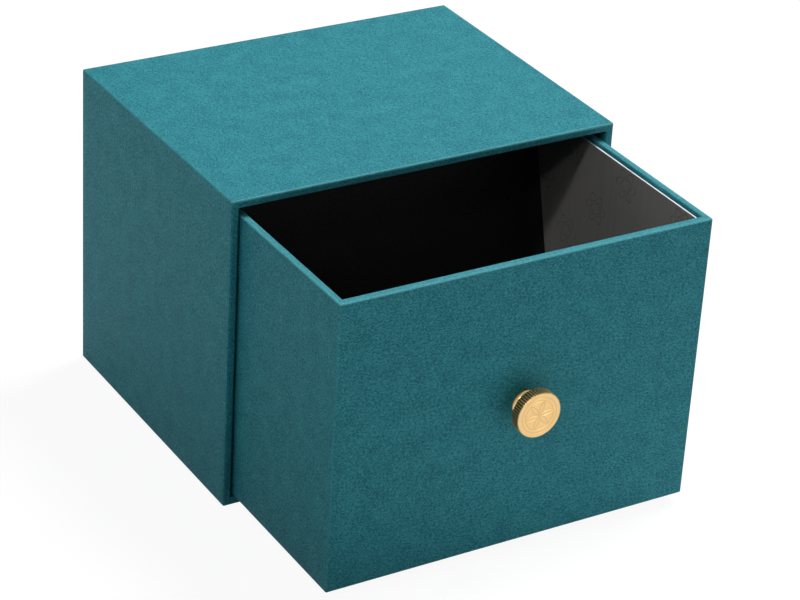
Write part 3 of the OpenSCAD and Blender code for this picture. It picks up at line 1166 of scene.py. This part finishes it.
@dataclass
class Knob:
    """The turned brass knob: collars, waist, straight-knurled head, engraved face.

    The face has a plain traditional six-petal rosette, drawn with compass arcs, in a ring.
    """

    centre: Pair = KNOB_AT
    panel: float = FRONT
    head_radius: float = 6.75 * MM
    head: float = 3.1 * MM
    neck: float = 4.2 * MM
    collar_radius: float = 4.0 * MM
    waist_radius: float = 3.1 * MM
    collar: float = 0.5 * MM
    soft: float = 0.08 * MM
    bevel: float = 0.25 * MM
    bore_radius: float = 1.5 * MM
    bore_deep: float = 4.6 * MM
    bore_bevel: float = 0.15 * MM
    # How much of the cove between the collars is cut, so that it ends clear of them
    cove_share: float = 0.97
    grooves: int = 56
    groove_deep: float = 0.3 * MM
    per_groove: int = 8
    crest: float = 0.12
    face_rows: int = 66
    ring_radius: float = 5.3 * MM
    petal_radius: float = 4.3 * MM
    petal_turn: float = 12.0
    engraved_radius: float = 6.2 * MM
    line: float = 0.18 * MM
    engraved: float = 0.10 * MM
    # The painted shade fills a groove from this share of its depth, and this much further
    # down; the next two say how strong it is on the knurl and in the engraved lines
    shade_from: Pair = (0.25, 0.30)
    painted_shade: float = 0.95
    face_shade: float = 0.16
    sharp: float = 32.0

    def outline(self) -> tuple[np.ndarray, np.ndarray]:
        """Works out the half outline, from the bore's end round to the face's middle.

        The waist is a round cove: with half its height h and its depth d, its radius is
        (h^2 + d^2) / 2d.

        Returns:
            Points as radius and height off the panel, and 1 where the rim is knurled.
        """
        total = self.neck + self.head
        cove_half = self.neck / 2 - self.collar
        cove_deep = self.collar_radius - self.waist_radius
        cove = (cove_half ** 2 + cove_deep ** 2) / (2 * cove_deep)
        swing = math.degrees(math.asin(cove_half / cove)) * self.cove_share
        c, r, b, bore, soft = (self.collar_radius, self.head_radius, self.bevel,
                               self.bore_radius, self.soft)
        plain = np.concatenate([
            [(0.0, self.bore_deep), (bore * 0.5, self.bore_deep), (bore, self.bore_deep),
             (bore, 2 * MM), (bore, self.bore_bevel), (bore + self.bore_bevel, 0.0)],
            run((bore, 0.0), (c - soft, 0.0), 3),
            arc((c - soft, soft), soft, -90, 0, 3),
            arc((c - soft, self.collar - soft), soft, 0, 60, 2),
            arc((self.waist_radius + cove, self.neck / 2), cove, 180 + swing, 180 - swing, 18),
            arc((c - soft, self.neck - self.collar + soft), soft, -60, 0, 2),
            [(c, self.neck - 0.02 * MM), (c + 0.02 * MM, self.neck)],
            run((c, self.neck), (r - b, self.neck), 4),
            [(r - b, self.neck)],
        ])
        rim = np.concatenate([
            run((r - b, self.neck), (r, self.neck + b), 3), [(r, self.neck + b)],
            run((r, self.neck + b), (r, total - b), 5)])
        edge = np.concatenate([
            [(r, total - b)], run((r, total - b), (r - b, total), 4), [(r - b, total)],
            [(r - b - 0.06 * MM, total)]])
        face = np.stack([np.linspace(r - b - 0.12 * MM, 0, self.face_rows),
                         np.full(self.face_rows, total)], axis=1)
        knurled = np.concatenate([np.zeros(len(plain)), np.ones(len(rim)),
                                  np.zeros(len(edge) + len(face))])
        return np.concatenate([plain, rim, edge, face]), knurled

    def carve(self, across: np.ndarray, up: np.ndarray) -> np.ndarray:
        """Depth of the engraving, from 0 to 1, at places from the face's middle.

        Six circles of the petal radius stand on a circle of the same radius; their arcs
        inside it make the petals. A ring goes round them. Each line fades off as a bell.
        """
        away = np.hypot(across, up)
        depth = np.exp(-((away - self.ring_radius) / self.line) ** 2)
        depth = np.maximum(depth, np.exp(
            -((away - self.petal_radius) / (0.7 * self.line)) ** 2))
        for turn in np.radians(np.arange(6) * 60 + self.petal_turn):
            x, y = self.petal_radius * np.cos(turn), self.petal_radius * np.sin(turn)
            off = np.abs(np.hypot(across - x, up - y) - self.petal_radius)
            line = np.exp(-(off / (0.8 * self.line)) ** 2) * (away < self.petal_radius)
            depth = np.maximum(depth, line)
        return depth

    def build(self, nodes: dict[str, bpy.types.Object], palette: Palette) -> None:
        """Builds the knob as a turned surface and dresses its screw.

        Round the axis the rim's radius is the smaller of its outline and the knurl's: a
        V groove between flat-topped crests.

        Args:
            nodes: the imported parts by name.
            palette: the finishes.
        """
        rows, knurled = self.outline()
        count = self.grooves * self.per_groove
        angle = np.arange(count) * (2 * np.pi / count)
        phase = (np.arange(count) % self.per_groove) / self.per_groove
        valley = np.clip(
            (1 - np.abs(2 * phase - 1) - self.crest) / (1 - self.crest), 0, 1)
        knurl = self.head_radius - self.groove_deep * valley
        ring = rows[1:-1]
        radius = np.broadcast_to(ring[:, :1], (len(ring), count))
        on_head = (ring[:, 1] >= self.neck)[:, None]
        radius = np.where(on_head, np.minimum(radius, knurl), radius)
        across, up = radius * np.cos(angle), radius * np.sin(angle)
        height = np.broadcast_to(ring[:, 1:], radius.shape).copy()
        on_face = (ring[:, 1] == rows[-1, 1]) & (ring[:, 0] < self.engraved_radius)
        carved = self.carve(across[on_face], up[on_face])
        height[on_face] -= self.engraved * carved
        middle = self.engraved * float(self.carve(np.zeros(1), np.zeros(1))[0])
        x, z = self.centre
        body = np.stack([x + across, self.panel - height, z + up], axis=-1).reshape(-1, 3)
        poles = np.array([[x, self.panel - rows[0, 1], z],
                          [x, self.panel - rows[-1, 1] + middle, z]])
        i, j = np.indices((len(ring) - 1, count))
        beside = (j + 1) % count
        quads = np.stack([i * count + j, (i + 1) * count + j, (i + 1) * count + beside,
                          i * count + beside], axis=-1).reshape(-1, 4)
        edge = np.arange(count)
        last = (len(ring) - 1) * count
        fans = [np.stack([np.full(count, len(body) + pole), one, two, np.full(count, -1)],
                         axis=-1)
                for pole, one, two in ((0, edge, np.roll(edge, -1)),
                                       (1, last + np.roll(edge, -1), last + edge))]
        # Painted shade, darker deeper in the knurl's grooves and along the engraved lines
        deep = np.clip((valley - self.shade_from[0]) / self.shade_from[1], 0, 1)
        rim = np.broadcast_to(knurled[1:-1, None], radius.shape)
        groove_shade = deep * rim * self.painted_shade
        groove_shade[on_face] = self.face_shade * carved
        values = {name: np.concatenate([value.ravel(), [0.0, 0.0]])
                  for name, value in (("groove_shade", groove_shade), ("knurl", rim))}
        knob = make_mesh("knurled_brass_knob", np.concatenate([body, poles]),
                         np.concatenate([quads, *fans]), values, sharp=self.sharp)
        dress(knob, palette.brass.build())
        place_piece(knob, "drawer", palette.brass.slot, "knob")
        dress(nodes["knob_screw"], palette.zinc.build())


# ---- stage ----

def way_back(azimuth: float, elevation: float) -> np.ndarray:
    """Direction from the box, for degrees round from the front and up from level."""
    a, e = math.radians(azimuth), math.radians(elevation)
    return np.array([math.sin(a) * math.cos(e), -math.cos(a) * math.cos(e), math.sin(e)])


def hang(name: str, data: bpy.types.ID, axes: tuple[np.ndarray, ...],
         place: np.ndarray | Place) -> bpy.types.Object:
    """Adds a lamp or camera.

    Args:
        name: its name.
        data: its lamp or camera data.
        axes: its own X, Y and Z.
        place: where it is.

    Returns:
        The object, linked to the scene.
    """
    thing = bpy.data.objects.new(name, data)
    bpy.context.scene.collection.objects.link(thing)
    matrix = np.eye(4)
    matrix[:3, :3] = np.stack(axes, axis=1)
    matrix[:3, 3] = place
    thing.matrix_world = Matrix(matrix.tolist())
    return thing


@dataclass(frozen=True)
class Lamp:
    """A lamp, by its direction from the box in degrees and its distance.

    At level 1 a surface that faces it renders in about the colour written for it. A cone,
    in degrees, makes it a narrow spot instead of a soft box. A spot's power counts for a
    whole sphere, so it needs four times as much.
    """

    name: str
    azimuth: float
    elevation: float
    away: float
    size: float
    level: float
    aim: Place = (0.0, -0.03, 0.05)
    cone: float = 0.0
    blend: float = 0.9

    def build(self) -> None:
        """Hangs the lamp, turned towards the place it is aimed at."""
        data = bpy.data.lights.new(self.name, "SPOT" if self.cone else "AREA")
        data.energy = self.level * (math.pi * self.away) ** 2
        if self.cone:
            data.energy *= 4
            data.spot_size, data.spot_blend = math.radians(self.cone), self.blend
            data.shadow_soft_size = self.size / 2
        else:
            data.shape, data.size = "SQUARE", self.size
        back = way_back(self.azimuth, self.elevation)
        side = np.cross([0, 0, 1], back)
        side /= np.linalg.norm(side)
        hang(self.name, data, (side, np.cross(back, side), back),
             back * self.away + self.aim)


@dataclass
class Stage:
    """Floor, backdrop, lamps and camera. None of it is part of the box.

    near and far are where the floor starts and ends turning white, lift is how white the
    camera sees it at the box, shine how white metal does. dim and high are the room's light
    for plain surfaces, and for metal high up.
    """

    lens: float = 127.2601
    place: Place = (-0.368696, -0.624700, 0.424534)
    azimuth: float = -32.024
    elevation: float = 28.567
    roll: float = 3.510
    floor_reach: float = 40.0
    floor_height: float = -0.2 * MM
    floor_roughness: float = 0.9
    floor_tone: str = "#E7E7E7"
    floor_white: float = 1.08
    # Painted shade: a dark patch on the floor beside the drawer, seen only by diffuse rays,
    # standing in for the box's shadow there
    shade_patch_tone: str = "#202020"
    shade_patch_place: Place = (-0.095, -0.06, 0.0)
    shade_patch_reach: Place = (0.13, 0.16, 1.0)
    shade_patch_edge: Pair = (1.0, 0.2)
    near: float = 0.45
    far: float = 1.10
    lift: float = 0.86
    shine: float = 0.75
    dim: float = 0.03
    high: float = 0.08
    low_edge: Pair = (0.12, 0.35)
    ahead_edge: Pair = (-0.35, -0.70)
    lamps: tuple[Lamp, ...] = (
        Lamp("key_soft_box", 105, 65, 1.5, 0.5, 1.00),
        Lamp("left_fill", -110, 15, 1.5, 0.6, 0.08),
        Lamp("front_fill", 20, 15, 1.5, 0.6, 0.09),
        Lamp("card_spot", -64, 42, 1.2, 0.40, 2.00, (0.054, -0.066, 0.066), 6.0),
        Lamp("card_rear_spot", -46, 36, 1.2, 0.40, 1.00, (0.054, -0.050, 0.062), 5.0),
    )

    def build_camera(self) -> None:
        """Puts the camera where the photograph was taken from.

        Its own +Z is the way back to the camera, from the azimuth and elevation; its +X is
        level and then turned by the roll.
        """
        back, r = way_back(self.azimuth, self.elevation), math.radians(self.roll)
        level = np.cross(-back, [0, 0, 1])
        level /= np.linalg.norm(level)
        up = np.cross(level, -back)
        data = bpy.data.cameras.new("camera")
        data.lens, data.sensor_width = self.lens, 36.0
        data.clip_start, data.clip_end = 0.05, 60.0
        bpy.context.scene.camera = hang("camera", data, (
            level * math.cos(r) + up * math.sin(r),
            -level * math.sin(r) + up * math.cos(r), back), self.place)

    def build_floor(self) -> None:
        """Lays a pale floor: to the camera nearly white, with the box's shadow kept light.

        Far from the box it is plain white, to metal too. From below it isn't there, so that
        the underside can be looked at. Beside the drawer the floor is painted dark for diffuse
        rays only, a painted shade unseen by the camera, which keeps the light that the floor
        sends up off the sleeve's mouth.
        """
        reach, height = self.floor_reach, self.floor_height
        corners = np.array([(-reach, -reach, height), (reach, -reach, height),
                            (reach, reach, height), (-reach, reach, height)])
        floor = make_mesh("floor", corners, np.array([[0, 1, 2, 3]]), closed=False)
        material, tree, shader = new_material("matt_white_sweep_paper")
        place = add_node(tree, "TexCoord").outputs["Object"]
        away = add_node(tree, "VectorMath", [place], operation="LENGTH")
        fade = add_node(tree, "MapRange", [away, self.near, self.far],
                        interpolation_type="SMOOTHSTEP")
        path = add_node(tree, "LightPath").outputs
        # The painted shade patch, darkest at its middle and for diffuse rays only
        offset = add_node(tree, "VectorMath", [place, self.shade_patch_place],
                          operation="SUBTRACT")
        offset = add_node(tree, "VectorMath", [offset, self.shade_patch_reach],
                          operation="DIVIDE")
        offset = add_node(tree, "VectorMath", [offset], operation="LENGTH")
        shade_patch = add_node(tree, "MapRange", [offset, *self.shade_patch_edge],
                        interpolation_type="SMOOTHSTEP")
        shade_patch = add_node(tree, "Math", [shade_patch, path["Is Diffuse Ray"]], operation="MULTIPLY")
        tone = add_node(tree, "Mix", [
            shade_patch, linear(self.floor_tone), linear(self.shade_patch_tone)], data_type="RGBA")
        fill(shader, {"Base Color": tone, "Roughness": self.floor_roughness,
                      "Specular IOR Level": 0.0})
        seen = add_node(tree, "Math", [path["Is Camera Ray"], path["Is Glossy Ray"]],
                        operation="MAXIMUM")
        seen = add_node(tree, "Math", [seen, path["Is Transmission Ray"]],
                        operation="MAXIMUM")
        share = add_node(tree, "Math", [seen, fade], operation="MULTIPLY")
        for ray, white in (("Is Camera Ray", self.lift), ("Is Glossy Ray", self.shine)):
            lifted = add_node(tree, "Math", [path[ray], white], operation="MULTIPLY")
            share = add_node(tree, "Math", [share, lifted], operation="MAXIMUM")
        white = add_node(tree, "Emission", [(1, 1, 1, 1), self.floor_white])
        lit = add_node(tree, "MixShader", [share, shader, white])
        under = add_node(tree, "NewGeometry").outputs["Backfacing"]
        clear = add_node(tree, "BsdfTransparent")
        whole = add_node(tree, "MixShader", [under, lit, clear])
        fill(tree.get_output_node("ALL"), {"Surface": whole})
        dress(floor, material)

    def build_world(self) -> None:
        """Makes the room: white to the camera, to metal white low down and ahead, else dim."""
        world = bpy.data.worlds.new("room")
        world.use_nodes = True
        tree = world.node_tree
        tree.nodes.clear()
        path = add_node(tree, "LightPath").outputs
        way = add_node(tree, "TexCoord").outputs["Generated"]
        part = add_node(tree, "SeparateXYZ", [way]).outputs
        low = add_node(tree, "MapRange", [part["Z"], *self.low_edge, 1.0, self.high],
                       interpolation_type="SMOOTHSTEP")
        ahead = add_node(tree, "MapRange", [part["Y"], *self.ahead_edge],
                         interpolation_type="SMOOTHSTEP")
        low = add_node(tree, "Math", [low, ahead], operation="MAXIMUM")
        shiny = add_node(tree, "Math", [
            path["Is Glossy Ray"], path["Is Transmission Ray"]], operation="MAXIMUM")
        dim = add_node(tree, "Mix", [shiny, self.dim, low])
        level = add_node(tree, "Mix", [path["Is Camera Ray"], dim, 1.0])
        shade = add_node(tree, "Background", [(1, 1, 1, 1), level])
        add_node(tree, "OutputWorld", {"Surface": shade})
        bpy.context.scene.world = world

    def build(self) -> None:
        """Builds the stage and keeps colours as they are written."""
        self.build_camera()
        self.build_floor()
        self.build_world()
        for lamp in self.lamps:
            lamp.build()
        bpy.context.scene.view_settings.view_transform = "Standard"


def main() -> None:
    """Builds and dresses the gift box, part by part."""
    logging.basicConfig(level=logging.INFO, format="%(name)s: %(message)s")
    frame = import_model()
    nodes = frame["nodes"]
    palette = Palette()
    Stage().build()
    Sleeve().build(nodes, palette)
    Drawer().build(nodes, palette)
    LinerCard().build(palette)
    Knob().build(nodes, palette)


if __name__ == "__main__":
    main()
